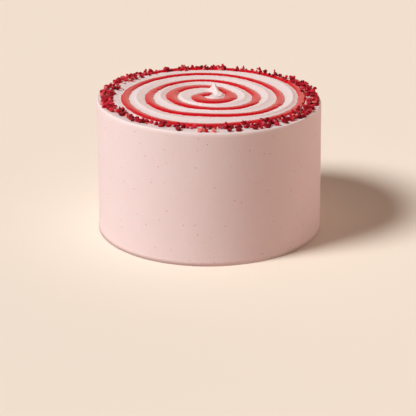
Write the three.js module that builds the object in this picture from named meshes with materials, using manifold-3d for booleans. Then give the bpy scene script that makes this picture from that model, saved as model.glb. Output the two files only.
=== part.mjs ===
// A round layer cake, frosted all over in pale pink buttercream. The knife has drawn the top
// into a spiral groove that is filled with red fruit sauce, and crumbs of dried fruit lie in
// a ring inside the rim. Millimetres, +Z up, with the origin at the middle of the flat base.
import * as THREE from 'three';
import { mergeVertices } from 'three/addons/utils/BufferGeometryUtils.js';
import Module from 'manifold-3d';

const { clamp, degToRad, lerp, smoothstep } = THREE.MathUtils;
const TURN = 2 * Math.PI;

// The frosted cake. Its side leans in a little, and its top rises towards the rim, most at the
// left. The rim is turned tightly at the top and fades slowly into the side.
const BASE_RADIUS = 105.9;
const RIM_RADIUS = 104.5;
const TOP_HEIGHT = 123.5;
const RIM_RISE = 1.1;
const RIM_TILT = 0.02;
const RISE_FROM = 80;
const RISE_TO = 101;
const RIM_INSET = 1.6;
const RIM_DROP = 4;
const ROUNDING_STEPS = 3;
const COLUMNS = 72;

// The knife's spiral. It is a little off centre and a little oval, and crowds up near the rim.
// At the front its third turn runs a little further in and its fourth a little further out,
// and its last turn bulges outwards at the back right.
const TURN_PITCH = 22.5;
const RADIUS_AT_ZERO = 21.7;
const SWIRL_CENTRE_Y = 4.6;
const OVAL = 2.5;
const THREE_LOBES = 1.05;
const ROUND_WITHIN = 12;
const OVAL_BEYOND = 32;
const CROWDED_BEYOND = 76;
const CROWDING_REACH = 21;
const INWARD_BEND = 3.6;
const INWARD_BEND_AT = degToRad(634);
const INWARD_BEND_REACH = degToRad(42);
const OUTWARD_BEND = 5;
const OUTWARD_BEND_AT = degToRad(972);
const OUTWARD_BEND_REACH = degToRad(50);
const OUTER_BULGE = 6;
const OUTER_BULGE_AT = degToRad(1122);
const OUTER_BULGE_REACH = degToRad(55);
const TIP_OUTWARDS = 4;
const TIP_REACH = degToRad(68);
const SMALLEST_SWIRL = 2;

// The relief across one turn: heights above the top's own level, and the ridge's places as
// shares of the way from one groove's edge to the next. The crest lies further out in the
// middle of the cake and near the rim.
const GROOVE_FLOOR = -0.6;
const GROOVE_EDGE = 0.9;
const CREST_HEIGHT = 2.7;
const CREST_AT = 0.45;
const CREST_FURTHER_INSIDE = 0.33;
const CREST_INSIDE_FADE = [degToRad(-180), degToRad(60)];
const CREST_FURTHER_OUTSIDE = 0.2;
const CREST_OUTSIDE_RISE = [degToRad(360), degToRad(760)];
const RISE_AT = 0.6;
const RISE_BEND = 1.35;
const FALL_AT = 0.35;
const FALL_BEND = 2;
const CENTRE_HEIGHT = 0.9;
const RIDGE_START = [degToRad(-330), degToRad(-200)];
const RIDGE_FADE = [degToRad(980), degToRad(1110)];
const FADE_AFTER_SAUCE = degToRad(60);

// The peak where the knife was lifted out of the middle: a low arm to the left along the
// ridge, a steep right side and back, and a front that runs down and widens to the right
const PEAK_X = 5.2;
const PEAK_Y = 20.5;
const PEAK_HEIGHT = 7.1;
const PEAK_LEFT = 8;
const PEAK_ARM = 18;
const PEAK_ARM_SHARE = 0.55;
const PEAK_RIGHT = 4.3;
const PEAK_FLARE = 0.17;
const PEAK_HEADING = degToRad(94);
const PEAK_BACK = 3.2;
const PEAK_FRONT = 13;

// The sauce in the groove, broad in the middle of the cake and narrow further out. Behind the
// peak it has spread outwards, and in front of it inwards. At the back left the ridge has
// pushed its inner edge outwards. It is a little wider at the front.
const SAUCE_START = degToRad(-290);
const SAUCE_END = degToRad(1215);
const SAUCE_WIDTH = 7.6;
const EXTRA_WIDTH_AT_START = 6.5;
const TURNS_TO_NARROW = 0.95;
const SPREAD_OUTWARDS = 5.2;
const SPREAD_OUTWARDS_AT = degToRad(128);
const SPREAD_OUTWARDS_REACH = degToRad(92);
const SPREAD_INWARDS = 3.8;
const SPREAD_INWARDS_AT = degToRad(-70);
const SPREAD_INWARDS_REACH = degToRad(120);
const PUSHED_OUTWARDS = 2.2;
const PUSHED_OUTWARDS_AT = degToRad(152);
const PUSHED_OUTWARDS_REACH = degToRad(38);
const WIDER_AT_FRONT = 2;
const ROUND_END = degToRad(40);
const WIDTH_AT_TIP = 0.4;
const SAUCE_SHARE = 0.93;
const SAUCE_BULGE = 0.35;
const GAP = 0.3;

// The crumbs of dried fruit, which lie closest at the left and right of the ring
const CRUMB_COUNT = 150;
const CRUMB_TRIES = 60;
const CRUMB_RADIUS = [1.7, 3];
const CRUMB_LONG = [0.8, 1.3];
const CRUMB_DENT = 0.22;
const CRUMB_SINK = 0.45;
const CRUMB_APART = 0.6;
const RING_RADIUS_FRONT = 88.5;
const RING_RADIUS_BACK = 93.5;
const RING_RADIUS_SIDE = 95.5;
const RING_SPREAD = [5.5, 7.5];
const RING_SHARE_FRONT = 0.45;
const RING_SHARE_BACK = 0.8;
const CLUMPS = 31;
const CLUMP_PULL = 0.7;
const SEED = 20417;

// Seeded random numbers between 0 and 1
function seededRandom(seed) {
  let state = seed;
  return () => {
    state = (state * 1664525 + 1013904223) % 4294967296;
    return state / 4294967296;
  };
}

// A smooth cap: 1 in the middle, and 0 from its reach on
function cap(distance, reach) {
  return Math.max(0, 1 - (distance / reach) ** 2) ** 2;
}

// How far the sauce has spread outwards and inwards of its plain edges
function spreadOutwards(angle) {
  return SPREAD_OUTWARDS * cap(angle - SPREAD_OUTWARDS_AT, SPREAD_OUTWARDS_REACH);
}

function spreadInwards(angle) {
  return SPREAD_INWARDS * cap(angle - SPREAD_INWARDS_AT, SPREAD_INWARDS_REACH)
    - PUSHED_OUTWARDS * cap(angle - PUSHED_OUTWARDS_AT, PUSHED_OUTWARDS_REACH);
}

// Distance of the groove's middle line from the swirl's own centre. The angle keeps counting
// from turn to turn.
function spiralRadius(angle) {
  const plain = RADIUS_AT_ZERO + TURN_PITCH * angle / TURN;
  const beyond = Math.max(0, plain - CROWDED_BEYOND);
  const crowded = CROWDING_REACH * (1 - Math.exp(-beyond / CROWDING_REACH));
  const lobes = OVAL * Math.sin(2 * angle) + THREE_LOBES * Math.sin(3 * angle);
  const oval = plain - beyond + crowded - lobes * smoothstep(plain, ROUND_WITHIN, OVAL_BEYOND);
  const bends = OUTWARD_BEND * cap(angle - OUTWARD_BEND_AT, OUTWARD_BEND_REACH)
    + OUTER_BULGE * cap(angle - OUTER_BULGE_AT, OUTER_BULGE_REACH)
    + TIP_OUTWARDS * cap(angle - SAUCE_START, TIP_REACH)
    - INWARD_BEND * cap(angle - INWARD_BEND_AT, INWARD_BEND_REACH);
  return oval + bends + 0.5 * (spreadOutwards(angle) - spreadInwards(angle));
}

function besideSwirlCentre(angle, radius) {
  return new THREE.Vector2(radius * Math.cos(angle), SWIRL_CENTRE_Y + radius * Math.sin(angle));
}

// Height of the top at a place, with a rise above its own level
function levelAt({ x, y }, rise) {
  const towardsRim = smoothstep(Math.hypot(x, y), RISE_FROM, RISE_TO);
  return TOP_HEIGHT + rise + (RIM_RISE - RIM_TILT * x) * towardsRim;
}

// 1 along the sauce, rounded off to 0 at both ends
function sauceShare(angle) {
  const fromEnd = Math.min(angle - SAUCE_START, SAUCE_END - angle);
  const share = clamp(fromEnd / ROUND_END, 0, 1);
  return Math.sqrt(share * (2 - share));
}

function halfWidth(angle) {
  const turns = Math.max(0, angle - SAUCE_START) / TURN;
  const width = SAUCE_WIDTH + EXTRA_WIDTH_AT_START * Math.exp(-turns / TURNS_TO_NARROW)
    + WIDER_AT_FRONT * Math.max(0, -Math.sin(angle)) ** 2 + spreadOutwards(angle) + spreadInwards(angle);
  return 0.5 * width * lerp(WIDTH_AT_TIP, 1, sauceShare(angle));
}

function grooveFloor(angle) {
  return lerp(GROOVE_EDGE, GROOVE_FLOOR, sauceShare(angle));
}

function crestShare(angle) {
  const inside = CREST_FURTHER_INSIDE * (1 - smoothstep(angle, ...CREST_INSIDE_FADE));
  return CREST_AT + inside + CREST_FURTHER_OUTSIDE * smoothstep(angle, ...CREST_OUTSIDE_RISE);
}

// How much the peak adds to the height of the ridge
function peakRise(angle, radius) {
  const { x, y } = besideSwirlCentre(angle, radius);
  const fromPeak = new THREE.Vector2(x - PEAK_X, y - PEAK_Y);
  const backward = fromPeak.x * Math.cos(PEAK_HEADING) + fromPeak.y * Math.sin(PEAK_HEADING);
  const leftward = fromPeak.y * Math.cos(PEAK_HEADING) - fromPeak.x * Math.sin(PEAK_HEADING);
  const left = lerp(cap(leftward, PEAK_LEFT), cap(leftward, PEAK_ARM), PEAK_ARM_SHARE);
  const right = cap(leftward, PEAK_RIGHT + PEAK_FLARE * Math.max(0, -backward));
  const beside = leftward > 0 ? left : right;
  return PEAK_HEIGHT * beside * cap(backward, backward > 0 ? PEAK_BACK : PEAK_FRONT);
}

// The relief across one turn, from a groove's floor to the inner edge of the next groove
function reliefAcrossTurn(angle) {
  const share = crestShare(angle);
  const outerEdge = spiralRadius(angle) + halfWidth(angle);
  const nextEdge = spiralRadius(angle + TURN) - halfWidth(angle + TURN);
  const crestRadius = lerp(outerEdge, nextEdge, share);
  const crestAngle = angle + share * TURN;
  const ridge = smoothstep(crestAngle, ...RIDGE_START) * (1 - smoothstep(crestAngle, ...RIDGE_FADE));
  const onRidge = (radius, part) => {
    const height = GROOVE_EDGE + part * ridge * (CREST_HEIGHT - GROOVE_EDGE);
    return [share, radius, height + peakRise(angle, radius)];
  };
  const points = [
    [0, spiralRadius(angle), grooveFloor(angle)],
    [0, outerEdge, GROOVE_EDGE],
    onRidge(lerp(outerEdge, crestRadius, RISE_AT), RISE_AT ** RISE_BEND),
    onRidge(crestRadius, 1),
    onRidge(lerp(crestRadius, nextEdge, FALL_AT), (1 - FALL_AT) ** FALL_BEND),
    [1, nextEdge, GROOVE_EDGE],
  ];
  return points.map(([turnsOut, radius, rise]) => {
    const at = angle + turnsOut * TURN;
    const fade = 1 - smoothstep(at, SAUCE_END, SAUCE_END + FADE_AFTER_SAUCE);
    const place = besideSwirlCentre(angle, radius);
    return { at, radius, place, height: levelAt(place, rise * fade) };
  });
}

const ROWS_PER_TURN = reliefAcrossTurn(0).length;

// The top along one direction, from the middle outwards. A row has the same key all the way
// round its turn.
function topRows(direction) {
  const rows = [];
  for (let turn = -2; turn * TURN < SAUCE_END; turn += 1) {
    reliefAcrossTurn(direction + turn * TURN).forEach((point, index) => {
      rows.push({ key: turn * ROWS_PER_TURN + index, ...point });
    });
  }
  return rows.filter((row) => row.radius > SMALLEST_SWIRL && row.at < SAUCE_END + FADE_AFTER_SAUCE);
}

// Joins two neighbouring columns row by row. A row that only one of them has ends in a triangle.
function joinColumns(left, right, triangles) {
  let i = 0;
  let j = 0;
  while (i < left.length - 1 || j < right.length - 1) {
    const leftKey = i < left.length - 1 ? left[i + 1].key : Infinity;
    const rightKey = j < right.length - 1 ? right[j + 1].key : Infinity;
    if (leftKey <= rightKey && leftKey < Infinity) {
      triangles.push([left[i].vertex, left[i + 1].vertex, right[j].vertex]);
      i += 1;
    } else {
      triangles.push([left[i].vertex, right[j + 1].vertex, right[j].vertex]);
      j += 1;
    }
  }
}

function indexedGeometry(positions, triangles) {
  const geometry = new THREE.BufferGeometry();
  const whole = triangles.filter(([a, b, c]) => a !== b && b !== c && c !== a);
  geometry.setAttribute('position', new THREE.Float32BufferAttribute(positions, 3));
  geometry.setIndex(whole.flat());
  return geometry;
}

// The frosted cake without crumbs: relief on top, a rounded rim, a plain side, a flat base
function cakeGeometry() {
  const positions = [];
  const triangles = [];
  const addVertex = (x, y, z) => positions.push(x, y, z) / 3 - 1;
  const topCentre = addVertex(0, SWIRL_CENTRE_Y, TOP_HEIGHT + CENTRE_HEIGHT);
  const baseCentre = addVertex(0, 0, 0);
  const rounding = [];
  for (let step = 0; step <= ROUNDING_STEPS; step += 1) {
    const bend = 0.5 * Math.PI * step / ROUNDING_STEPS;
    rounding.push([RIM_RADIUS - RIM_INSET * (1 - Math.sin(bend)), RIM_DROP * (1 - Math.cos(bend))]);
  }
  const columns = [];
  for (let i = 0; i < COLUMNS; i += 1) {
    const angle = TURN * i / COLUMNS;
    const swirl = topRows(angle).map(({ key, place, height }) => {
      return { key, vertex: addVertex(place.x, place.y, height) };
    });
    const outwards = new THREE.Vector2(Math.cos(angle), Math.sin(angle));
    const side = rounding.map(([radius, drop]) => {
      const place = outwards.clone().multiplyScalar(radius);
      return addVertex(place.x, place.y, levelAt(place, -drop));
    });
    const foot = outwards.multiplyScalar(BASE_RADIUS);
    side.push(addVertex(foot.x, foot.y, 0), baseCentre);
    columns.push({ swirl, side });
  }
  const firstSideKey = 1000;
  const chain = ({ swirl, side }, keyShift) => [
    { key: -Infinity, vertex: topCentre },
    ...swirl.map((row) => ({ key: row.key - keyShift, vertex: row.vertex })),
    ...side.map((vertex, index) => ({ key: firstSideKey + index, vertex })),
  ];
  columns.forEach((column, i) => {
    const wraps = i === COLUMNS - 1;
    const next = chain(columns[(i + 1) % COLUMNS], wraps ? ROWS_PER_TURN : 0);
    joinColumns(chain(column, 0), next, triangles);
  });
  return indexedGeometry(positions, triangles);
}

// The sauce: a ribbon along the groove, thin at its edges and a little proud in the middle
function sauceGeometry() {
  const first = Math.ceil(SAUCE_START / TURN * COLUMNS);
  const last = Math.floor(SAUCE_END / TURN * COLUMNS);
  const positions = [];
  const triangles = [];
  for (let i = first; i <= last; i += 1) {
    const angle = TURN * i / COLUMNS;
    const middle = spiralRadius(angle);
    const reach = SAUCE_SHARE * halfWidth(angle);
    const edge = lerp(grooveFloor(angle), GROOVE_EDGE, SAUCE_SHARE) + GAP;
    const section = [
      [middle - reach, edge],
      [middle, grooveFloor(angle) + GAP],
      [middle + reach, edge],
      [middle, edge + SAUCE_BULGE],
    ];
    for (const [radius, rise] of section) {
      const place = besideSwirlCentre(angle, radius);
      positions.push(place.x, place.y, levelAt(place, rise));
    }
  }
  const corners = 4;
  const end = corners * (last - first);
  for (let start = 0; start < end; start += corners) {
    for (let corner = 0; corner < corners; corner += 1) {
      const a = start + corner;
      const b = start + (corner + 1) % corners;
      triangles.push([a, a + corners, b], [b, a + corners, b + corners]);
    }
  }
  triangles.push([0, 1, 3], [1, 2, 3], [end, end + 3, end + 1], [end + 1, end + 3, end + 2]);
  return indexedGeometry(positions, triangles);
}

// Height of the frosting at a place on top
function topHeight(x, y) {
  const direction = Math.atan2(y - SWIRL_CENTRE_Y, x);
  const radius = Math.hypot(x, y - SWIRL_CENTRE_Y);
  const rows = topRows(direction < 0 ? direction + TURN : direction);
  const outer = rows.findIndex((row) => row.radius > radius);
  if (outer < 1) {
    return levelAt({ x, y }, 0);
  }
  const share = (radius - rows[outer - 1].radius) / (rows[outer].radius - rows[outer - 1].radius);
  return lerp(rows[outer - 1].height, rows[outer].height, share);
}

// The sauce's edges in one direction, as distances from the swirl's centre, with room for a crumb
function sauceEdges(x, y, room) {
  const direction = Math.atan2(y - SWIRL_CENTRE_Y, x);
  const edges = [];
  for (let angle = direction - TURN; angle < SAUCE_END + ROUND_END; angle += TURN) {
    const reach = halfWidth(angle) + room;
    edges.push([spiralRadius(angle) - reach, spiralRadius(angle) + reach]);
  }
  return edges;
}

function isClearOfSauce(place, room) {
  const radius = Math.hypot(place.x, place.y - SWIRL_CENTRE_Y);
  return sauceEdges(place.x, place.y, room).every(([inner, outer]) => radius < inner || radius > outer);
}

// A direction in the ring. The ring is thinner at the front and back, and gathers in clumps.
function ringAngle(random) {
  let angle = TURN * random();
  const share = (at) => lerp(at > Math.PI ? RING_SHARE_FRONT : RING_SHARE_BACK, 1, Math.abs(Math.cos(at)));
  while (random() > share(angle)) {
    angle = TURN * random();
  }
  return angle - CLUMP_PULL / CLUMPS * Math.sin(CLUMPS * angle);
}

// Places for the crumbs, largest first. Each stays on the flat of the top, beside the sauce.
function crumbPlaces(random) {
  const places = [];
  for (let crumb = 0; crumb < CRUMB_COUNT; crumb += 1) {
    const size = lerp(CRUMB_RADIUS[1], CRUMB_RADIUS[0], crumb / CRUMB_COUNT);
    const room = size * CRUMB_LONG[1];
    const furthest = RIM_RADIUS - RIM_INSET - room;
    for (let attempt = 0; attempt < CRUMB_TRIES; attempt += 1) {
      const angle = ringAngle(random);
      const sideways = Math.abs(Math.cos(angle));
      const spread = lerp(...RING_SPREAD, sideways) * (random() + random() - 1);
      const middle = angle > Math.PI ? RING_RADIUS_FRONT : RING_RADIUS_BACK;
      const radius = Math.min(lerp(middle, RING_RADIUS_SIDE, sideways) + spread, furthest);
      const place = new THREE.Vector2(radius * Math.cos(angle), radius * Math.sin(angle));
      if (!isClearOfSauce(place, room + GAP)) {
        place.setLength(furthest);
      }
      const apart = places.every((other) => {
        return place.distanceTo(other.place) > CRUMB_APART * (size + other.size);
      });
      if (apart && isClearOfSauce(place, room + GAP)) {
        places.push({ place, size });
        break;
      }
    }
  }
  return places;
}

// A crumb is an uneven lump with its lowest part in the frosting
function crumbGeometry({ place, size }, random) {
  const geometry = new THREE.IcosahedronGeometry(1, 0);
  geometry.deleteAttribute('normal');
  geometry.deleteAttribute('uv');
  const crumb = mergeVertices(geometry);
  const position = crumb.getAttribute('position');
  for (let i = 0; i < position.count; i += 1) {
    const swell = 1 + CRUMB_DENT * (2 * random() - 1);
    position.setXYZ(i, position.getX(i) * swell, position.getY(i) * swell, position.getZ(i) * swell);
  }
  const stretch = () => size * lerp(...CRUMB_LONG, random()) / (1 + CRUMB_DENT);
  crumb.scale(stretch(), stretch(), stretch());
  crumb.rotateX(TURN * random());
  crumb.rotateZ(TURN * random());
  crumb.translate(place.x, place.y, topHeight(place.x, place.y) + CRUMB_SINK * size);
  return crumb;
}

const wasm = await Module();
wasm.setup();

function solidFrom(geometry) {
  return new wasm.Manifold(new wasm.Mesh({
    numProp: 3,
    vertProperties: new Float32Array(geometry.getAttribute('position').array),
    triVerts: new Uint32Array(geometry.getIndex().array),
  }));
}

// The cake and its crumbs as one solid, without loose scraps or sealed hollows
function cakeWithCrumbs() {
  const random = seededRandom(SEED);
  const crumbs = crumbPlaces(random).map((place) => solidFrom(crumbGeometry(place, random)));
  const joined = crumbs.reduce((cake, crumb) => cake.add(crumb), solidFrom(cakeGeometry()));
  const pieces = joined.decompose();
  const largest = pieces.reduce((best, piece) => (piece.volume() > best.volume() ? piece : best));
  const mesh = largest.getMesh();
  const geometry = new THREE.BufferGeometry();
  geometry.setAttribute('position', new THREE.BufferAttribute(mesh.vertProperties, 3));
  geometry.setIndex(new THREE.BufferAttribute(mesh.triVerts, 1));
  return geometry;
}

const frosting = new THREE.MeshStandardMaterial({ color: '#ecd8d5', roughness: 0.6, metalness: 0 });
const sauce = new THREE.MeshStandardMaterial({ color: '#b80f1c', roughness: 0.15, metalness: 0 });

const cakeMesh = new THREE.Mesh(cakeWithCrumbs(), frosting);
cakeMesh.name = 'frosted_cake';
const sauceMesh = new THREE.Mesh(sauceGeometry(), sauce);
sauceMesh.name = 'fruit_sauce';

const cake = new THREE.Group();
cake.add(cakeMesh, sauceMesh);

export default cake;
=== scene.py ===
# A round layer cake, frosted all over in pale pink buttercream, with a spiral of red fruit
# sauce on top and a ring of dried fruit crumbs inside its rim. Metres, +Z up, front at -Y.
import math

import bpy
import numpy as np
from mathutils import Matrix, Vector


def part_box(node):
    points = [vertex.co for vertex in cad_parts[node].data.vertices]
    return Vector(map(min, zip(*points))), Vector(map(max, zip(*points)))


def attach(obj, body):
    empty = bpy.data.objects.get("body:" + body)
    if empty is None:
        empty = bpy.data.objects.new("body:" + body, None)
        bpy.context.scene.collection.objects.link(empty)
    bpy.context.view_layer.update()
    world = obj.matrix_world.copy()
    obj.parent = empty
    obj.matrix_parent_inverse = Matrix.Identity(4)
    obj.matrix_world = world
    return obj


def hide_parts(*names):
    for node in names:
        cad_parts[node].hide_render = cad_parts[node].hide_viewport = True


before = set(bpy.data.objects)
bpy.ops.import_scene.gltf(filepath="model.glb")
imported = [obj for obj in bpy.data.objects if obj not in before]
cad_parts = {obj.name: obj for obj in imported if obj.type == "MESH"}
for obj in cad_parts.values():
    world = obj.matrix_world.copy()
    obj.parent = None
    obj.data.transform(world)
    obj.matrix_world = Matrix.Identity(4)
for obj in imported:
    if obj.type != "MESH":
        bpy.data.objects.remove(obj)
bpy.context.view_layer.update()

# The frosted cake
# A sponge under a smooth coat of buttercream. A palette knife held on the turning cake drew
# one spiral groove from the rim to the middle, with a ridge beside it, and was lifted out
# there in a peak. The side was drawn smooth with a scraper.
TURN = 2 * math.pi
MM = 0.001
BASE_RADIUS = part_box("frosted_cake")[1].x
RIM_RADIUS = 104.5 * MM
TOP_HEIGHT = 123.5 * MM
RIM_RISE = 1.1 * MM
RIM_TILT = 0.02
RISE_FROM = 80 * MM
RISE_TO = 101 * MM
RIM_INSET = 1.6 * MM
RIM_DROP = 4 * MM
TURN_PITCH = 22.5 * MM
RADIUS_AT_ZERO = 21.7 * MM
SWIRL_CENTRE_Y = 4.6 * MM
OVAL = 2.5 * MM
THREE_LOBES = 1.05 * MM
ROUND_WITHIN = 12 * MM
OVAL_BEYOND = 32 * MM
CROWDED_BEYOND = 76 * MM
CROWDING_REACH = 21 * MM
SAUCE_START = math.radians(-290)
SAUCE_END = math.radians(1215)
SAUCE_WIDTH = 7.6 * MM
EXTRA_WIDTH_AT_START = 6.5 * MM
TURNS_TO_NARROW = 0.95
THIRD_TURN_INWARDS = (3.6 * MM, math.radians(634), math.radians(42))
FOURTH_TURN_OUTWARDS = (5 * MM, math.radians(972), math.radians(50))
OUTER_BULGE = (6 * MM, math.radians(1122), math.radians(55))
TIP_OUTWARDS = (4 * MM, SAUCE_START, math.radians(68))
SPREAD_OUTWARDS = (5.2 * MM, math.radians(128), math.radians(92))
SPREAD_INWARDS = (3.8 * MM, math.radians(-70), math.radians(120))
INNER_EDGE_OUTWARDS = (2.2 * MM, math.radians(152), math.radians(38))
WIDER_AT_FRONT = 2 * MM
ROUND_END = math.radians(40)
WIDTH_AT_TIP = 0.4
EDGE_WAVINESS = 0.35 * MM
EDGE_WAVES = (40 * MM, 7 * MM, 5)
EDGE_SEED = 31
GROOVE_FLOOR = -0.6 * MM
GROOVE_EDGE = 0.9 * MM
CREST_HEIGHT = 2.7 * MM
CREST_AT = 0.45
CREST_FURTHER_INSIDE = 0.33
CREST_INSIDE_FADE = (math.radians(-180), math.radians(60))
CREST_FURTHER_OUTSIDE = 0.2
CREST_OUTSIDE_RISE = (math.radians(360), math.radians(760))
RISE_BEND = 1.35
FALL_BEND = 2
CENTRE_HEIGHT = 0.9 * MM
RIDGE_START = (math.radians(-330), math.radians(-200))
RIDGE_FADE = (math.radians(980), math.radians(1110))
RIDGE_FROM_CENTRE = (1 * MM, 8 * MM)
FADE_AFTER_SAUCE = math.radians(60)
PEAK_PLACE = (5.2 * MM, 20.5 * MM)
PEAK_HEIGHT = 6.4 * MM
PEAK_LEFT = 8 * MM
PEAK_ARM = 18 * MM
PEAK_ARM_SHARE = 0.55
PEAK_RIGHT = 4.3 * MM
PEAK_FLARE = 0.17
PEAK_HEADING = math.radians(94)
PEAK_BACK = 3.2 * MM
PEAK_FRONT = 13 * MM
PEAK_FOOT_INSIDE = 0.6
PEAK_FOOT_OUTSIDE = 0.65
SMALLEST_SWIRL = 1 * MM
SAME_PLACE = 0.001 * MM
COLUMNS = 480
FIRST_TURN = -2
ROWS_IN_GROOVE = 4
ROWS_UP_RIDGE = 9
ROWS_DOWN_RIDGE = 11
KNIFE_MARK = 0.09 * MM
KNIFE_WAVES = (0.2, 0.03, 7)
KNIFE_SEED = 5
KNIFE_STRETCH = 0.02
RIM_FADE = 4 * MM
ROUNDING_ROWS = 6
SIDE_ROWS = 30
SIDE_UNEVENNESS = 0.25 * MM
SIDE_WAVES = (120 * MM, 20 * MM, 8)
SIDE_SEED = 11


def lerp(start, end, share):
    return start + (end - start) * share


def smooth_step(value, low, high):
    share = np.clip((value - low) / (high - low), 0, 1)
    return share * share * (3 - 2 * share)


def waves(places, longest, shortest, count, seed):
    """Unevenness between about -1 and 1: waves of ever shorter length in random directions."""
    random = np.random.default_rng(seed)
    total = 0
    for wave in range(count):
        length = longest * (shortest / longest) ** (wave / (count - 1))
        heading = random.normal(size=len(places))
        heading = heading / np.linalg.norm(heading)
        distance = sum(part * step for part, step in zip(places, heading))
        total = total + np.sin(TURN * (distance / length + random.random()))
    return total / math.sqrt(count)


def cap(distance, reach):
    """A smooth cap: 1 in the middle, and 0 from its reach on."""
    return np.maximum(0, 1 - (distance / reach) ** 2) ** 2


def local_shift(angle, shift):
    """A shift along one stretch of the spiral, given as its width, its place and its reach."""
    width, place, reach = shift
    return width * cap(angle - place, reach)


def spread_outwards(angle):
    """How much further out than usual the sauce's outer edge lies."""
    return local_shift(angle, SPREAD_OUTWARDS)


def spread_inwards(angle):
    """How much further in than usual the sauce's inner edge lies."""
    return local_shift(angle, SPREAD_INWARDS) - local_shift(angle, INNER_EDGE_OUTWARDS)


def spiral_radius(angle):
    """Radius of the groove's middle line. The angle counts on from turn to turn."""
    plain = RADIUS_AT_ZERO + TURN_PITCH * angle / TURN
    beyond = np.maximum(0, plain - CROWDED_BEYOND)
    crowded = CROWDING_REACH * (1 - np.exp(-beyond / CROWDING_REACH))
    lobes = OVAL * np.sin(2 * angle) + THREE_LOBES * np.sin(3 * angle)
    oval = plain - beyond + crowded - lobes * smooth_step(plain, ROUND_WITHIN, OVAL_BEYOND)
    bends = -local_shift(angle, THIRD_TURN_INWARDS)
    for shift in (FOURTH_TURN_OUTWARDS, OUTER_BULGE, TIP_OUTWARDS):
        bends = bends + local_shift(angle, shift)
    return oval + bends + 0.5 * (spread_outwards(angle) - spread_inwards(angle))


def beside_swirl_centre(angle, radius):
    return radius * np.cos(angle), SWIRL_CENTRE_Y + radius * np.sin(angle)


def level_at(x, y, rise):
    """Height of the top at a place. The top rises towards the rim, most at the left."""
    towards_rim = smooth_step(np.hypot(x, y), RISE_FROM, RISE_TO)
    return TOP_HEIGHT + rise + (RIM_RISE - RIM_TILT * x) * towards_rim


def sauce_share(angle):
    """1 along the sauce, rounded off to 0 at both ends."""
    from_end = np.minimum(angle - SAUCE_START, SAUCE_END - angle)
    share = np.clip(from_end / ROUND_END, 0, 1)
    return np.sqrt(share * (2 - share))


def half_width(angle):
    turns = np.maximum(0, angle - SAUCE_START) / TURN
    width = SAUCE_WIDTH + EXTRA_WIDTH_AT_START * np.exp(-turns / TURNS_TO_NARROW)
    width = width + WIDER_AT_FRONT * np.maximum(0, -np.sin(angle)) ** 2
    width = width + spread_outwards(angle) + spread_inwards(angle)
    return 0.5 * width * lerp(WIDTH_AT_TIP, 1, sauce_share(angle))


def sauce_edge(angle, side):
    """Radius of the sauce's inner edge (side -1) or outer edge (side 1), a little wavy."""
    wobble = waves([angle * spiral_radius(angle)], *EDGE_WAVES, EDGE_SEED + side)
    reach = half_width(angle) + side * EDGE_WAVINESS * wobble * sauce_share(angle)
    return spiral_radius(angle) + side * reach


def groove_floor(angle):
    return lerp(GROOVE_EDGE, GROOVE_FLOOR, sauce_share(angle))


def crest_share(angle):
    """The crest's place as a share of the way from one groove's edge to the next."""
    inside = CREST_FURTHER_INSIDE * (1 - smooth_step(angle, *CREST_INSIDE_FADE))
    outside = CREST_FURTHER_OUTSIDE * smooth_step(angle, *CREST_OUTSIDE_RISE)
    return CREST_AT + inside + outside


def peak_rise(angle, radius):
    """The peak: a low arm to the left, a steep right side, a front that widens as it falls."""
    x, y = beside_swirl_centre(angle, radius)
    x = x - PEAK_PLACE[0]
    y = y - PEAK_PLACE[1]
    backward = x * math.cos(PEAK_HEADING) + y * math.sin(PEAK_HEADING)
    leftward = y * math.cos(PEAK_HEADING) - x * math.sin(PEAK_HEADING)
    left = lerp(cap(leftward, PEAK_LEFT), cap(leftward, PEAK_ARM), PEAK_ARM_SHARE)
    right = PEAK_RIGHT + PEAK_FLARE * np.maximum(0, -backward)
    beside = np.where(leftward > 0, left, cap(leftward, right))
    return PEAK_HEIGHT * beside * cap(backward, np.where(backward > 0, PEAK_BACK, PEAK_FRONT))


def relief_across_turn(angle):
    """Rows of (share of a turn, radius, height) from a groove's middle to the next groove's."""
    crest_at = crest_share(angle)
    middle = spiral_radius(angle)
    outer_edge = sauce_edge(angle, 1)
    next_edge = sauce_edge(angle + TURN, -1)
    next_middle = spiral_radius(angle + TURN)
    crest_radius = lerp(outer_edge, next_edge, crest_at)
    along = angle + crest_at * TURN
    ridge = smooth_step(along, *RIDGE_START) * (1 - smooth_step(along, *RIDGE_FADE))
    crest = lerp(GROOVE_EDGE, CREST_HEIGHT, ridge * smooth_step(crest_radius, *RIDGE_FROM_CENTRE))
    rows = []
    for row in range(ROWS_IN_GROOVE):
        share = row / ROWS_IN_GROOVE
        rise = lerp(groove_floor(angle), GROOVE_EDGE, share ** 2)
        rows.append((0 * angle, lerp(middle, outer_edge, share), rise))
    for row in range(ROWS_UP_RIDGE):
        share = row / ROWS_UP_RIDGE
        radius = lerp(outer_edge, crest_radius, share)
        rise = lerp(GROOVE_EDGE, crest, share ** RISE_BEND)
        rise = rise + peak_rise(angle, radius) * smooth_step(share, 0, PEAK_FOOT_INSIDE)
        rows.append((crest_at * share, radius, rise))
    for row in range(ROWS_DOWN_RIDGE):
        share = row / ROWS_DOWN_RIDGE
        radius = lerp(crest_radius, next_edge, share)
        rise = lerp(GROOVE_EDGE, crest, (1 - share) ** FALL_BEND)
        rise = rise + peak_rise(angle, radius) * smooth_step(1 - share, 0, PEAK_FOOT_OUTSIDE)
        rows.append((lerp(crest_at, 1, share), radius, rise))
    for row in range(ROWS_IN_GROOVE):
        share = 1 - row / ROWS_IN_GROOVE
        rise = lerp(groove_floor(angle + TURN), GROOVE_EDGE, share ** 2)
        rows.append((1 + 0 * angle, lerp(next_middle, next_edge, share), rise))
    return rows


def rim_distance(x, y):
    return RIM_RADIUS - RIM_INSET - np.hypot(x, y)


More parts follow.
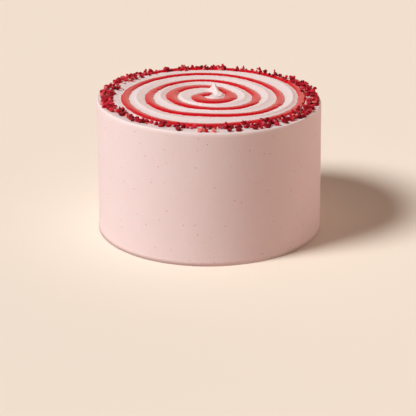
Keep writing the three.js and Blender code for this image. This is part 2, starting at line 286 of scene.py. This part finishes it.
def ring_radius_from_swirl(angle, ring_radius):
    """How far a ring about the cake's middle lies from the swirl's middle, in one direction."""
    up = SWIRL_CENTRE_Y * np.sin(angle)
    return -up + np.sqrt(up * up + ring_radius ** 2 - SWIRL_CENTRE_Y ** 2)


def mesh_object(name, points, faces):
    mesh = bpy.data.meshes.new(name)
    mesh.from_pydata(np.asarray(points).tolist(), [], faces)
    mesh.validate()
    mesh.shade_smooth()
    piece = bpy.data.objects.new(name, mesh)
    bpy.context.scene.collection.objects.link(piece)
    return piece


def grid_faces(grid):
    """Four-sided faces between the neighbouring points of a grid of point numbers."""
    corners = [grid[:-1, :-1], grid[1:, :-1], grid[1:, 1:], grid[:-1, 1:]]
    return np.stack(corners, -1).reshape(-1, 4)


def swirl_rows(angle):
    """The rows of the spiral strip, from one groove to the next: x, y, height and radius."""
    flat_ring = ring_radius_from_swirl(angle, RIM_RADIUS - RIM_INSET)
    rows = []
    for share, radius, rise in relief_across_turn(angle):
        along = angle + share * TURN
        outward = smooth_step(along, SAUCE_END, SAUCE_END + TURN)
        radius = np.minimum(lerp(radius, flat_ring, outward), flat_ring)
        x, y = beside_swirl_centre(angle, radius)
        fade = 1 - smooth_step(along, SAUCE_END, SAUCE_END + FADE_AFTER_SAUCE)
        marks = KNIFE_MARK * waves([share, KNIFE_STRETCH * angle], *KNIFE_WAVES, KNIFE_SEED)
        level = smooth_step(rim_distance(x, y), 0, RIM_FADE)
        rows.append((x, y, level_at(x, y, (rise * fade + marks) * level), radius))
    return [np.array(part) for part in zip(*rows)]


def swirl_faces(index, angle, radius, ring_start, strip_start):
    """The strip's faces, closed in the middle by one point and at the rim by the rim's points."""
    on_ring = ring_radius_from_swirl(angle, RIM_RADIUS - RIM_INSET) - radius < SAME_PLACE
    vertex = strip_start + np.arange(radius.size).reshape(radius.shape)
    vertex = np.where(on_ring, ring_start + index % COLUMNS, vertex)
    vertex = np.where(radius < SMALLEST_SWIRL, 0, vertex)
    after_last_turn = ring_start + index[-COLUMNS:] % COLUMNS
    next_turn = np.concatenate([vertex[0][COLUMNS:], after_last_turn])
    return grid_faces(np.vstack([vertex, next_turn]))


def side_outline(rim_level):
    """Radius and height down the side: the rounded rim, then the side that leans in a little."""
    outline = []
    for step in range(1, ROUNDING_ROWS + 1):
        bend = 0.5 * math.pi * step / ROUNDING_ROWS
        edge = RIM_RADIUS - RIM_INSET * (1 - math.sin(bend))
        outline.append((edge, rim_level - RIM_DROP * (1 - math.cos(bend))))
    for step in range(1, SIDE_ROWS + 1):
        share = step / SIDE_ROWS
        outline.append((lerp(RIM_RADIUS, BASE_RADIUS, share), (rim_level - RIM_DROP) * (1 - share)))
    return outline


def frosted_cake_mesh():
    """One skin: the swirl as a strip that winds outwards, the rim, the side and the base."""
    points = [(0, SWIRL_CENTRE_Y, TOP_HEIGHT + CENTRE_HEIGHT)]
    ring_start = len(points)
    direction = TURN * np.arange(COLUMNS) / COLUMNS
    ring = ring_radius_from_swirl(direction, RIM_RADIUS - RIM_INSET)
    ring_x, ring_y = beside_swirl_centre(direction, ring)
    rim_level = level_at(ring_x, ring_y, 0)
    points.extend(zip(ring_x, ring_y, rim_level))
    strip_start = len(points)
    index = np.arange(FIRST_TURN * COLUMNS, math.ceil((SAUCE_END + TURN) / TURN * COLUMNS))
    angle = index * TURN / COLUMNS
    x, y, height, radius = swirl_rows(angle)
    points.extend(zip(x.ravel(), y.ravel(), height.ravel()))
    quads = swirl_faces(index, angle, radius, ring_start, strip_start)
    rings = [ring_start + np.arange(COLUMNS)]
    bearing = np.arctan2(ring_y, ring_x)
    for edge, level in side_outline(rim_level):
        flatness = np.minimum(1, np.minimum(level, rim_level - level) / RIM_DROP)
        places = [edge * np.cos(bearing), edge * np.sin(bearing), level]
        hollow = SIDE_UNEVENNESS * (0.5 + 0.25 * waves(places, *SIDE_WAVES, SIDE_SEED))
        reach = edge - hollow * flatness
        rings.append(len(points) + np.arange(COLUMNS))
        points.extend(zip(reach * np.cos(bearing), reach * np.sin(bearing), level))
    rings.append(np.full(COLUMNS, len(points)))
    points.append((0, 0, 0))
    side = np.array(rings)
    quads = np.vstack([quads, grid_faces(np.hstack([side, side[:, :1]]))])
    triangles = np.vstack([quads[:, [0, 1, 2]], quads[:, [0, 2, 3]]])
    a, b, c = triangles.T
    triangles = triangles[(a != b) & (b != c) & (c != a)]
    used, renumbered = np.unique(triangles, return_inverse=True)
    return np.array(points)[used], renumbered.reshape(triangles.shape).tolist()


def add_node(tree, kind, inputs=None, **settings):
    node = tree.nodes.new(kind)
    for name, value in settings.items():
        setattr(node, name, value)
    for name, value in (inputs or {}).items():
        if isinstance(value, bpy.types.NodeSocket):
            tree.links.new(value, node.inputs[name])
        else:
            node.inputs[name].default_value = value
    return node


def mix_colours(tree, share, first, second):
    node = add_node(tree, "ShaderNodeMix", data_type="RGBA")
    values = ((node.inputs[0], share), (node.inputs[6], first), (node.inputs[7], second))
    for socket, value in values:
        if isinstance(value, bpy.types.NodeSocket):
            tree.links.new(value, socket)
        else:
            socket.default_value = value
    return node.outputs[2]


def new_material(name):
    material = bpy.data.materials.new(name)
    material.use_nodes = True
    tree = material.node_tree
    return material, tree, tree.nodes["Principled BSDF"]


# Spacing and size of the fine and of the bold red flecks, and their colours
FLECKS = (
    (2.3 * MM, 0.36 * MM, (0.80, 0.55, 0.54, 1)),
    (7.5 * MM, 0.6 * MM, (0.62, 0.25, 0.25, 1)),
)


def buttercream():
    material, tree, surface = new_material("pink_buttercream")
    place = add_node(tree, "ShaderNodeTexCoord").outputs["Object"]
    patches = add_node(tree, "ShaderNodeTexNoise", {"Vector": place, "Scale": 40, "Detail": 4})
    tint = mix_colours(tree, patches.outputs["Fac"], (0.84, 0.725, 0.71, 1), (0.87, 0.765, 0.75, 1))
    for spacing, size, colour in FLECKS:
        flecks = add_node(tree, "ShaderNodeTexVoronoi", {"Vector": place, "Scale": 1 / spacing})
        edge = size / spacing
        reach = add_node(
            tree, "ShaderNodeMapRange",
            {"Value": flecks.outputs["Distance"], "From Min": edge, "From Max": 0.6 * edge},
        )
        tint = mix_colours(tree, reach.outputs["Result"], tint, colour)
    tree.links.new(tint, surface.inputs["Base Color"])
    pores = add_node(tree, "ShaderNodeTexNoise", {"Vector": place, "Scale": 700, "Detail": 3})
    bump = add_node(
        tree, "ShaderNodeBump",
        {"Height": pores.outputs["Fac"], "Strength": 0.25, "Distance": 0.2 * MM},
    )
    tree.links.new(bump.outputs["Normal"], surface.inputs["Normal"])
    surface.inputs["Roughness"].default_value = 0.55
    surface.inputs["Subsurface Weight"].default_value = 0.2
    surface.inputs["Subsurface Radius"].default_value = (0.004, 0.0022, 0.0016)
    surface.inputs["Subsurface Scale"].default_value = 1
    return material


frosted_cake = mesh_object("frosted_cake_fine", *frosted_cake_mesh())
frosted_cake.data.materials.append(buttercream())
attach(frosted_cake, "root")
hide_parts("frosted_cake")

# The fruit sauce
# Thick red fruit sauce that was run into the groove from the middle of the cake outwards. It
# stands proud of the groove in a rounded bead with a wet skin.
SAUCE_BULGE = 1.2 * MM
SAUCE_LIP = 0.1 * MM
SAUCE_BED = 0.25 * MM
BEAD_BEND = 0.85
ACROSS_SAUCE = 16


def fruit_sauce_mesh():
    """The bead from edge to edge, then its underside in the groove, closed at both ends."""
    first = math.ceil(SAUCE_START / TURN * COLUMNS)
    last = math.floor(SAUCE_END / TURN * COLUMNS)
    angle = np.arange(first, last + 1) * TURN / COLUMNS
    inner = sauce_edge(angle, -1)
    outer = sauce_edge(angle, 1)
    middle = spiral_radius(angle)
    share_along = sauce_share(angle)
    section = []
    for step in range(ACROSS_SAUCE + 1):
        share = 2 * step / ACROSS_SAUCE - 1
        radius = lerp(middle, np.where(share < 0, inner, outer), abs(share))
        bead = (SAUCE_LIP + SAUCE_BULGE * share_along) * (1 - share ** 2) ** BEAD_BEND
        section.append((radius, GROOVE_EDGE - SAUCE_LIP + bead))
    for step in range(ACROSS_SAUCE - 1, 0, -1):
        share = 2 * step / ACROSS_SAUCE - 1
        radius = lerp(middle, np.where(share < 0, inner, outer), abs(share))
        rise = lerp(groove_floor(angle), GROOVE_EDGE, share ** 2) - SAUCE_BED
        section.append((radius, rise))
    points = []
    for radius, rise in section:
        x, y = beside_swirl_centre(angle, radius)
        points.append(np.stack([x, y, level_at(x, y, rise)], -1))
    points = np.array(points)
    rows, columns = points.shape[:2]
    vertex = np.arange(rows * columns).reshape(rows, columns)
    faces = grid_faces(np.vstack([vertex, vertex[:1]])).tolist()
    faces.append(vertex[::-1, 0].tolist())
    faces.append(vertex[:, -1].tolist())
    return points.reshape(-1, 3), faces


def wet_fruit_sauce():
    material, tree, surface = new_material("wet_fruit_sauce")
    place = add_node(tree, "ShaderNodeTexCoord").outputs["Object"]
    depth = add_node(tree, "ShaderNodeTexNoise", {"Vector": place, "Scale": 120, "Detail": 3})
    tint = mix_colours(tree, depth.outputs["Fac"], (0.56, 0.001, 0.007, 1), (0.70, 0.004, 0.015, 1))
    tree.links.new(tint, surface.inputs["Base Color"])
    surface.inputs["Roughness"].default_value = 0.2
    surface.inputs["IOR"].default_value = 1.4
    return material


fruit_sauce = mesh_object("fruit_sauce_wet", *fruit_sauce_mesh())
fruit_sauce.data.materials.append(wet_fruit_sauce())
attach(fruit_sauce, "root")
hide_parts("fruit_sauce")

# The fruit crumbs
# Bits of freeze-dried red fruit, crushed by hand and dropped in a ring inside the rim. They
# lie closest at the left and right, some on each other, some on the outermost sauce.
CRUMB_COUNT = 150
CRUMB_TRIES = 60
CRUMB_RADIUS = (1.7 * MM, 3 * MM)
CRUMB_LONG = (0.8, 1.3)
CRUMB_SINK = 0.45
CRUMB_APART = 0.6
RING_RADIUS_FRONT = 88.5 * MM
RING_RADIUS_BACK = 93.5 * MM
RING_RADIUS_SIDE = 95.5 * MM
RING_SPREAD = (5.5 * MM, 7.5 * MM)
RING_SHARE_FRONT = 0.45
RING_SHARE_BACK = 0.8
CLUMPS = 31
CLUMP_PULL = 0.7
ROOM_BESIDE = 0.3 * MM
CRUMB_SEED = 20417
SMALL_CRUMB_COUNT = 620
SMALL_CRUMB_RADIUS = (0.8 * MM, 2.3 * MM)
SMALL_CRUMB_BEND = 0.7
SMALL_CRUMB_SHARE_BACK = 1
TOUCHING = 0.85
STACKING = 0.8
STACKED_SINK = 0.6
HIGHEST_CRUMB = 7.5 * MM
STRAY_CRUMBS = (
    (-69.7 * MM, 57.7 * MM, 1.7 * MM),
    (-99.8 * MM, 17.1 * MM, 1.5 * MM),
    (-100.3 * MM, 2.8 * MM, 1.3 * MM),
    (101 * MM, 0.2 * MM, 2.3 * MM),
    (-80.5 * MM, 26 * MM, 1 * MM),
)
CHUNK_CUTS = 9
CUT_DEPTH = (0.45, 0.9)
CUT_FACING = 0.05
CHUNK_REACH = 1.15
CHUNK_ROUGHNESS = (0.94, 1.06)
CHUNK_SEED = 7


def seeded_random(seed):
    state = seed

    def draw():
        nonlocal state
        state = (state * 1664525 + 1013904223) % 4294967296
        return state / 4294967296

    return draw


def is_clear_of_sauce(x, y, room):
    direction = math.atan2(y - SWIRL_CENTRE_Y, x)
    radius = math.hypot(x, y - SWIRL_CENTRE_Y)
    angles = np.arange(direction - TURN, SAUCE_END + ROUND_END, TURN)
    return bool(np.all(np.abs(spiral_radius(angles) - radius) > half_width(angles) + room))


def ring_angle(random, share_back):
    """A direction in the ring, which lies in clumps. It is thinner at the front, and at the
    back by a share of its own."""
    while True:
        angle = TURN * random()
        thin = RING_SHARE_FRONT if angle > math.pi else share_back
        if random() <= lerp(thin, 1, abs(math.cos(angle))):
            return angle - CLUMP_PULL / CLUMPS * math.sin(CLUMPS * angle)


def ring_place(random, furthest, share_back=RING_SHARE_BACK):
    angle = ring_angle(random, share_back)
    sideways = abs(math.cos(angle))
    spread = lerp(*RING_SPREAD, sideways) * (random() + random() - 1)
    middle = RING_RADIUS_FRONT if angle > math.pi else RING_RADIUS_BACK
    return angle, min(lerp(middle, RING_RADIUS_SIDE, sideways) + spread, furthest)


def top_height(x, y):
    """Height of the frosting at a place on top."""
    direction = math.atan2(y - SWIRL_CENTRE_Y, x)
    angles = np.arange(direction - TURN, SAUCE_END + FADE_AFTER_SAUCE, TURN)
    rows = relief_across_turn(angles)
    radii = np.array([radius for _, radius, _ in rows]).T.ravel()
    along = np.array([angles + share * TURN for share, _, _ in rows]).T.ravel()
    rise = np.array([rise for _, _, rise in rows]).T.ravel()
    fade = 1 - smooth_step(along, SAUCE_END, SAUCE_END + FADE_AFTER_SAUCE)
    return level_at(x, y, float(np.interp(math.hypot(x, y - SWIRL_CENTRE_Y), radii, rise * fade)))


def large_crumbs(random):
    """The crumbs that lie beside the sauce, largest first, as (x, y, size)."""
    places = []
    for crumb in range(CRUMB_COUNT):
        size = lerp(CRUMB_RADIUS[1], CRUMB_RADIUS[0], crumb / CRUMB_COUNT)
        room = size * CRUMB_LONG[1]
        furthest = RIM_RADIUS - RIM_INSET - room
        for _ in range(CRUMB_TRIES):
            angle, radius = ring_place(random, furthest)
            x, y = radius * math.cos(angle), radius * math.sin(angle)
            if not is_clear_of_sauce(x, y, room + ROOM_BESIDE):
                x, y = furthest * math.cos(angle), furthest * math.sin(angle)
            apart = all(math.hypot(x - u, y - v) > CRUMB_APART * (size + other) for u, v, other in places)
            if apart and is_clear_of_sauce(x, y, room + ROOM_BESIDE):
                places.append((x, y, size))
                break
    return places


def all_crumbs(random):
    """Every crumb as (x, y, z, size): the large ones, small ones that may lie on sauce and
    on other crumbs, and a few strays."""
    crumbs = []
    for x, y, size in large_crumbs(random):
        crumbs.append((x, y, top_height(x, y) + CRUMB_SINK * size, size))
    for crumb in range(SMALL_CRUMB_COUNT):
        share = (crumb / SMALL_CRUMB_COUNT) ** SMALL_CRUMB_BEND
        size = lerp(SMALL_CRUMB_RADIUS[1], SMALL_CRUMB_RADIUS[0], share)
        angle, radius = ring_place(random, RIM_RADIUS - RIM_INSET - size, SMALL_CRUMB_SHARE_BACK)
        x, y = radius * math.cos(angle), radius * math.sin(angle)
        level = top_height(x, y)
        for u, v, w, other in crumbs:
            gap = math.hypot(x - u, y - v) / (TOUCHING * (size + other))
            if gap < 1:
                above = STACKING * (size + other) * math.sqrt(1 - gap * gap)
                level = max(level, w + above - STACKED_SINK * size)
        if level < TOP_HEIGHT + HIGHEST_CRUMB - 2 * size:
            crumbs.append((x, y, level + CRUMB_SINK * size, size))
    for x, y, size in STRAY_CRUMBS:
        crumbs.append((x, y, top_height(x, y) + CRUMB_SINK * size, size))
    return crumbs


def round_directions():
    """Even directions and the triangles between them, from an icosahedron divided once."""
    golden = (1 + math.sqrt(5)) / 2
    just_over_one_side = 2.1
    corners = []
    for a in (-1, 1):
        for b in (-golden, golden):
            corners.extend([(0, a, b), (a, b, 0), (b, 0, a)])
    corners = np.array(corners, float)
    triangles = []
    count = len(corners)
    for i in range(count):
        for j in range(i + 1, count):
            for k in range(j + 1, count):
                sides = [np.linalg.norm(corners[p] - corners[q]) for p, q in ((i, j), (j, k), (k, i))]
                if max(sides) < just_over_one_side:
                    outward = np.dot(np.cross(corners[j] - corners[i], corners[k] - corners[i]), corners[i])
                    triangles.append((i, j, k) if outward > 0 else (i, k, j))
    points = corners.tolist()
    middles = {}
    split = []
    for i, j, k in triangles:
        ends = []
        for p, q in ((i, j), (j, k), (k, i)):
            key = (min(p, q), max(p, q))
            if key not in middles:
                middles[key] = len(points)
                points.append(((corners[p] + corners[q]) / 2).tolist())
            ends.append(middles[key])
        split.extend([(i, ends[0], ends[2]), (j, ends[1], ends[0]), (k, ends[2], ends[1]), tuple(ends)])
    points = np.array(points)
    return points / np.linalg.norm(points, axis=1)[:, None], np.array(split)


def chunk(directions, size, random):
    """An angular bit: a ball cut by random planes, stretched and turned."""
    cuts = random.normal(size=(CHUNK_CUTS, 3))
    cuts = cuts / np.linalg.norm(cuts, axis=1)[:, None]
    depth = random.uniform(*CUT_DEPTH, CHUNK_CUTS)
    facing = directions @ cuts.T
    reach = np.where(facing > CUT_FACING, depth / np.maximum(facing, CUT_FACING), np.inf).min(axis=1)
    roughness = random.uniform(*CHUNK_ROUGHNESS, (len(directions), 1))
    points = directions * np.minimum(reach, CHUNK_REACH)[:, None] * roughness
    points = points * size * random.uniform(*CRUMB_LONG, 3)
    turned, _ = np.linalg.qr(random.normal(size=(3, 3)))
    return points @ (turned * np.sign(np.linalg.det(turned)))


def dried_fruit(name, colour, pale):
    material, tree, surface = new_material(name)
    place = add_node(tree, "ShaderNodeTexCoord").outputs["Object"]
    grain = add_node(tree, "ShaderNodeTexNoise", {"Vector": place, "Scale": 500, "Detail": 3})
    share = add_node(
        tree, "ShaderNodeMapRange",
        {"Value": grain.outputs["Fac"], "From Min": 0.35, "From Max": 0.7},
    )
    tint = mix_colours(tree, share.outputs["Result"], colour, pale)
    tree.links.new(tint, surface.inputs["Base Color"])
    bump = add_node(
        tree, "ShaderNodeBump",
        {"Height": grain.outputs["Fac"], "Strength": 0.5, "Distance": 0.4 * MM},
    )
    tree.links.new(bump.outputs["Normal"], surface.inputs["Normal"])
    surface.inputs["Specular IOR Level"].default_value = 0.15
    surface.inputs["Roughness"].default_value = 0.5
    return material


# Each kind with its share of the crumbs, its colour and the paler colour of its grain
CRUMB_KINDS = (
    ("dark", 0.27, (0.19, 0.001, 0.007, 1), (0.33, 0.002, 0.014, 1)),
    ("red", 0.42, (0.38, 0.002, 0.015, 1), (0.56, 0.012, 0.035, 1)),
    ("bright", 0.23, (0.58, 0.012, 0.035, 1), (0.70, 0.06, 0.08, 1)),
    ("rosy", 0.08, (0.70, 0.10, 0.10, 1), (0.82, 0.26, 0.22, 1)),
)
directions, facets = round_directions()
shape_random = np.random.default_rng(CHUNK_SEED)
crumb_meshes = {kind: ([], []) for kind, *_ in CRUMB_KINDS}
kind_shares = [share for _, share, *_ in CRUMB_KINDS]
for x, y, z, size in all_crumbs(seeded_random(CRUMB_SEED)):
    kind = CRUMB_KINDS[shape_random.choice(len(CRUMB_KINDS), p=kind_shares)][0]
    points, faces = crumb_meshes[kind]
    faces.append(facets + len(directions) * len(points))
    points.append(chunk(directions, size, shape_random) + (x, y, z))
for kind, _, colour, pale in CRUMB_KINDS:
    points, faces = crumb_meshes[kind]
    crumbs = mesh_object("fruit_crumbs_" + kind, np.vstack(points), np.vstack(faces).tolist())
    crumbs.data.shade_flat()
    crumbs.data.materials.append(dried_fruit("dried_fruit_" + kind, colour, pale))
    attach(crumbs, "root")

# The floor
# A cream floor that fills the picture. Only the camera sees it cream; the light it bounces onto the cake is
# painted shade, darker and redder, which dims the cake's side.
floor = mesh_object("floor", [(-4, -3, 0), (4, -3, 0), (4, 6, 0), (-4, 6, 0)], [(0, 1, 2, 3)])
floor_material, floor_tree, floor_surface = new_material("cream_floor")
# Painted shade: cream for camera rays, a darker, redder colour for bounced light so that less fill reaches
# the cake
seen = add_node(floor_tree, "ShaderNodeLightPath").outputs["Is Camera Ray"]
cream_and_bounce_shade = mix_colours(floor_tree, seen, (0.66, 0.47, 0.41, 1), (0.935, 0.85, 0.73, 1))
floor_tree.links.new(cream_and_bounce_shade, floor_surface.inputs["Base Color"])
floor_surface.inputs["Roughness"].default_value = 0.9
floor.data.materials.append(floor_material)

# The light
# One large soft light from the left and a little from the front, and a warm glow from the
# room, which is strongest low down at the right.
KEY_LEFT_OF_FRONT = math.radians(67)
KEY_ELEVATION = math.radians(46)
GLOW_HEADING = (0.86, 0.5, 0)
key_light = bpy.data.lights.new("key_light", "SUN")
key_light.energy = 3.15
key_light.angle = math.radians(20)
key_light.color = (1.0, 0.985, 0.985)
key = bpy.data.objects.new("key_light", key_light)
bpy.context.scene.collection.objects.link(key)
key.matrix_world = (
    Matrix.Rotation(-KEY_LEFT_OF_FRONT, 4, "Z")
    @ Matrix.Rotation(math.radians(90) - KEY_ELEVATION, 4, "X")
)

world = bpy.data.worlds.new("warm_room")
world.use_nodes = True
bpy.context.scene.world = world
room = world.node_tree
backdrop = room.nodes["Background"]
direction = add_node(room, "ShaderNodeTexCoord").outputs["Generated"]
parts = add_node(room, "ShaderNodeSeparateXYZ", {"Vector": direction})
band = add_node(
    room, "ShaderNodeMapRange",
    {"Value": parts.outputs["Z"], "From Min": 0.38, "From Max": 0.6, "To Min": 1.0, "To Max": 0.1},
    interpolation_type="SMOOTHSTEP",
)
towards_glow = add_node(room, "ShaderNodeVectorMath", operation="DOT_PRODUCT")
room.links.new(direction, towards_glow.inputs[0])
towards_glow.inputs[1].default_value = GLOW_HEADING
side = add_node(
    room, "ShaderNodeMapRange",
    {"Value": towards_glow.outputs["Value"], "To Min": 0.35, "To Max": 1.8},
)
strength = add_node(room, "ShaderNodeMath", operation="MULTIPLY")
room.links.new(band.outputs["Result"], strength.inputs[0])
room.links.new(side.outputs["Result"], strength.inputs[1])
room.links.new(strength.outputs["Value"], backdrop.inputs["Strength"])
backdrop.inputs["Color"].default_value = (1.0, 0.72, 0.60, 1)
bpy.context.scene.view_settings.view_transform = "Standard"

# The camera
# It looks down on the cake from the front through a long lens, fitted to the photograph.
CAMERA_PLACE = (-0.001435, -1.2907, 0.525)
CAMERA_DOWN = 0.37675
CAMERA_ROLL = -0.0065
camera_data = bpy.data.cameras.new("camera")
camera_data.lens = 125.48
camera_data.sensor_width = 36
camera_data.clip_end = 20
camera = bpy.data.objects.new("camera", camera_data)
bpy.context.scene.collection.objects.link(camera)
camera.matrix_world = (
    Matrix.Translation(CAMERA_PLACE)
    @ Matrix.Rotation(math.radians(90) - CAMERA_DOWN, 4, "X")
    @ Matrix.Rotation(CAMERA_ROLL, 4, "Z")
)
bpy.context.scene.camera = camera
